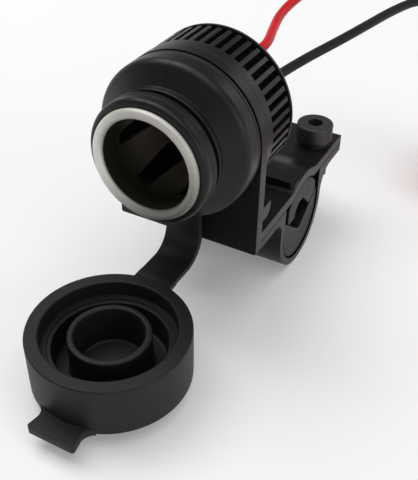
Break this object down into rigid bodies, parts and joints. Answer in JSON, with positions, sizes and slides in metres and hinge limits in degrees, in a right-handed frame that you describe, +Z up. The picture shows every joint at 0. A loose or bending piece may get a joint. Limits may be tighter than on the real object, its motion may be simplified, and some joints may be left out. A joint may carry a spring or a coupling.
{
  "type": "bar-mounted 12 v power socket",
  "caption": "Round 12 V socket with a rubber dust cap on a strap, on a bracket that clamps to a tube, with a ribbed ring nut and two leads to ring terminals.",
  "frame": {"origin": "on the axis of the bar that the bracket clamps to, in the middle of the clamp's width", "axes": "+X along the bar, +Z up from the bar to the socket, -Y out of the socket's mouth"},
  "size_m": [0.0878, 0.1598, 0.0673],
  "materials": {
    "body_plastic": "moulded black polyamide with a fine satin grain",
    "nut_plastic": "moulded black polyamide, satin",
    "insert_plastic": "black plastic, matte, a little ribbed by its mould",
    "cap_rubber": "soft black rubber, matte",
    "liner_metal": "nickel-plated steel, satin bead and a dull inside",
    "screw_steel": "black oxide, a little worn on the heads",
    "contact_brass": "plain brass",
    "insulator_fibre": "brown fibre board",
    "red_lead_skin": "red insulation, slightly glossy",
    "black_lead_skin": "black insulation, slightly glossy",
    "terminal_tin": "tinned copper"
  },
  "bodies": {
    "socket": {"barrel": "liner_metal", "housing": "body_plastic", "cap_strap": "cap_rubber", "contact_insulator": "insulator_fibre", "insulating_washer": "insulator_fibre", "centre_contact": "contact_brass", "centre_terminal": "contact_brass", "ground_terminal": "contact_brass", "rear_cover": "body_plastic", "bracket": "body_plastic", "lower_jaw": "body_plastic", "bar_insert_upper": "insert_plastic", "bar_insert_lower": "insert_plastic", "clamp_screw_left": "screw_steel", "clamp_screw_right": "screw_steel", "clamp_nut_left": "screw_steel", "clamp_nut_right": "screw_steel", "grommet_red": "cap_rubber", "grommet_black": "cap_rubber", "inner_lead_red": "red_lead_skin", "inner_lead_black": "black_lead_skin", "lead_red": "red_lead_skin", "lead_black": "black_lead_skin", "coil_red": "red_lead_skin", "coil_black": "black_lead_skin", "terminal_sleeve_red": "red_lead_skin", "terminal_sleeve_black": "black_lead_skin", "ring_terminal_red": "terminal_tin", "ring_terminal_black": "terminal_tin"},
    "dust_cap": {"dust_cap": "cap_rubber"},
    "ring_nut": {"ring_nut": "nut_plastic"}
  },
  "joints": [
    {"name": "cap_swing", "type": "hinge", "parent": "socket", "child": "dust_cap", "pos_m": [0, -0.0367, 0.00935], "axis": [1, 0, 0], "range_deg": [-90, 0]},
    {"name": "ring_nut_turn", "type": "hinge", "parent": "socket", "child": "ring_nut", "pos_m": [0, -0.0194, 0.0353], "axis": [0, 1, 0], "continuous": true}
  ]
}
